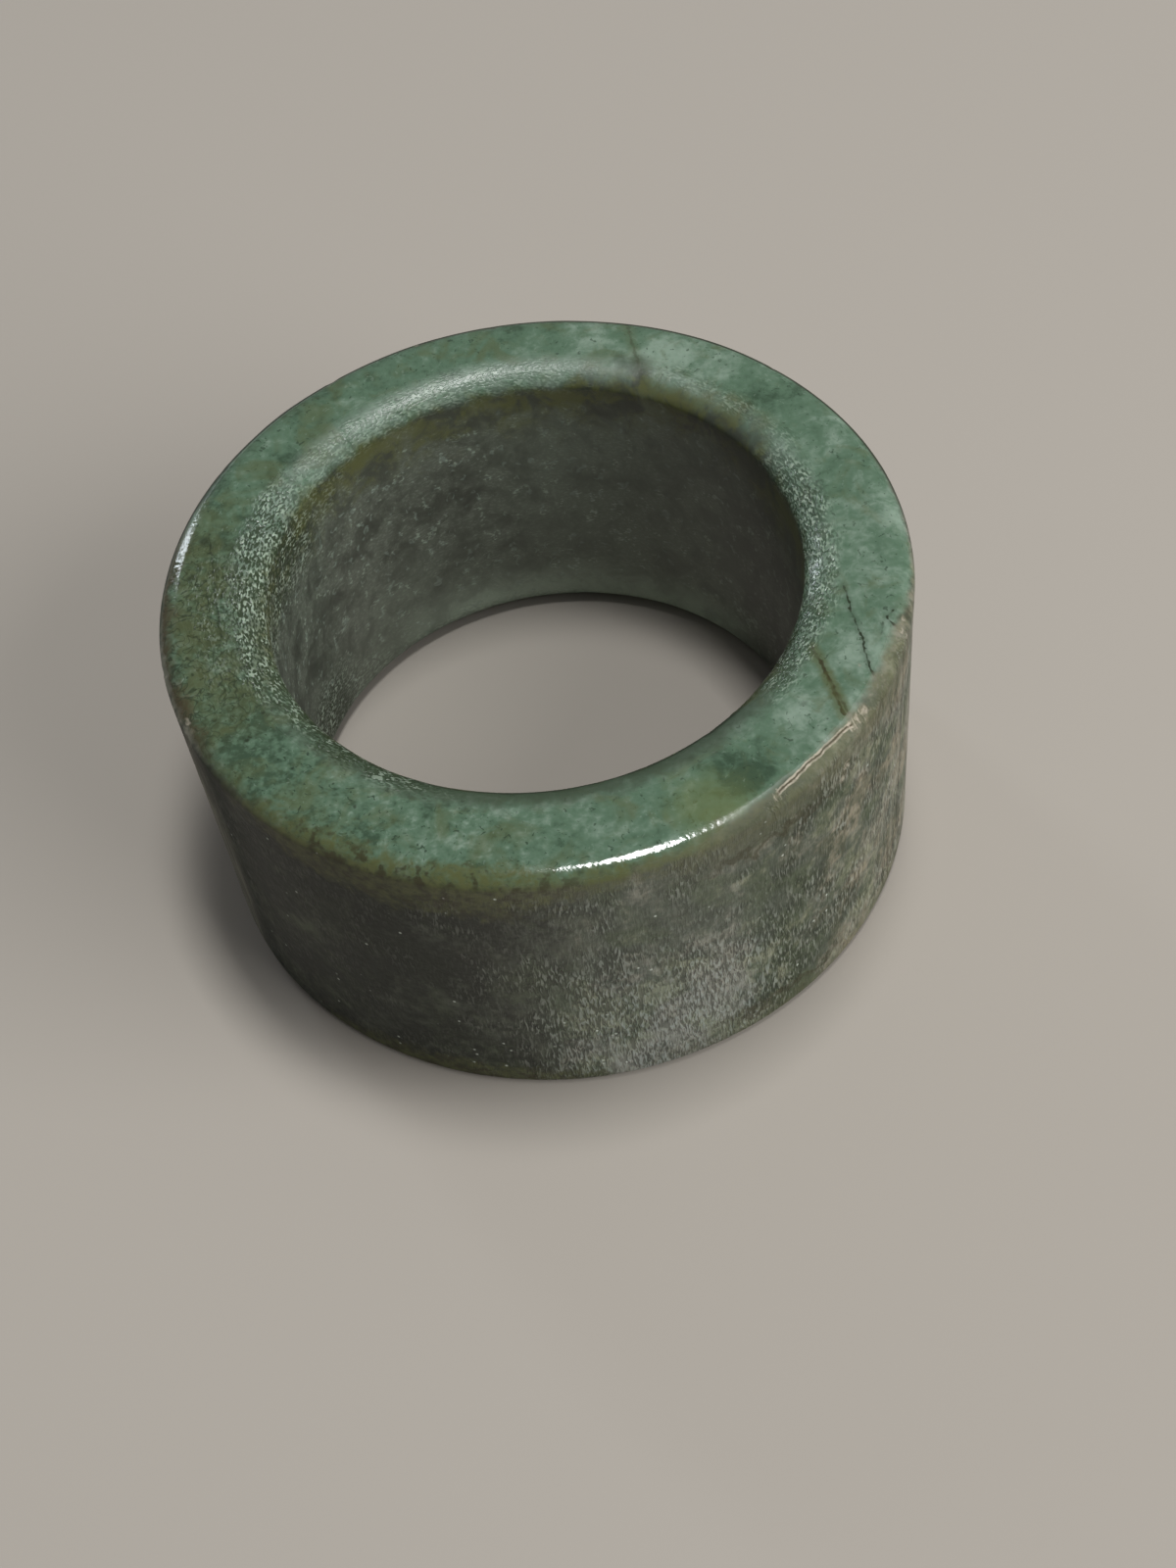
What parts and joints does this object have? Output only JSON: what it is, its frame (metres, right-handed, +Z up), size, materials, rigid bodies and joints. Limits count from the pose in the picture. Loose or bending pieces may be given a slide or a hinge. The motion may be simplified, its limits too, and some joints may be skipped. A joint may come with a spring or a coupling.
{
  "type": "jade band ring",
  "caption": "Thick plain band ring cut from one piece of mottled green stone, with flat end faces, finely rounded outer edges and a broadly eased finger hole.",
  "frame": {"origin": "centre of the outside of the band, on the plane of the lower end face", "axes": "+Z up along the band, from the lower end face to the upper one that carries the chip; -Y is the side that the picture shows nearest"},
  "size_m": [0.028, 0.028, 0.0134],
  "materials": {
    "jade": "polished, mottled green end faces and a darker grey-olive worn wall"
  },
  "bodies": {
    "root": {"band_ring": "jade"}
  },
  "joints": []
}
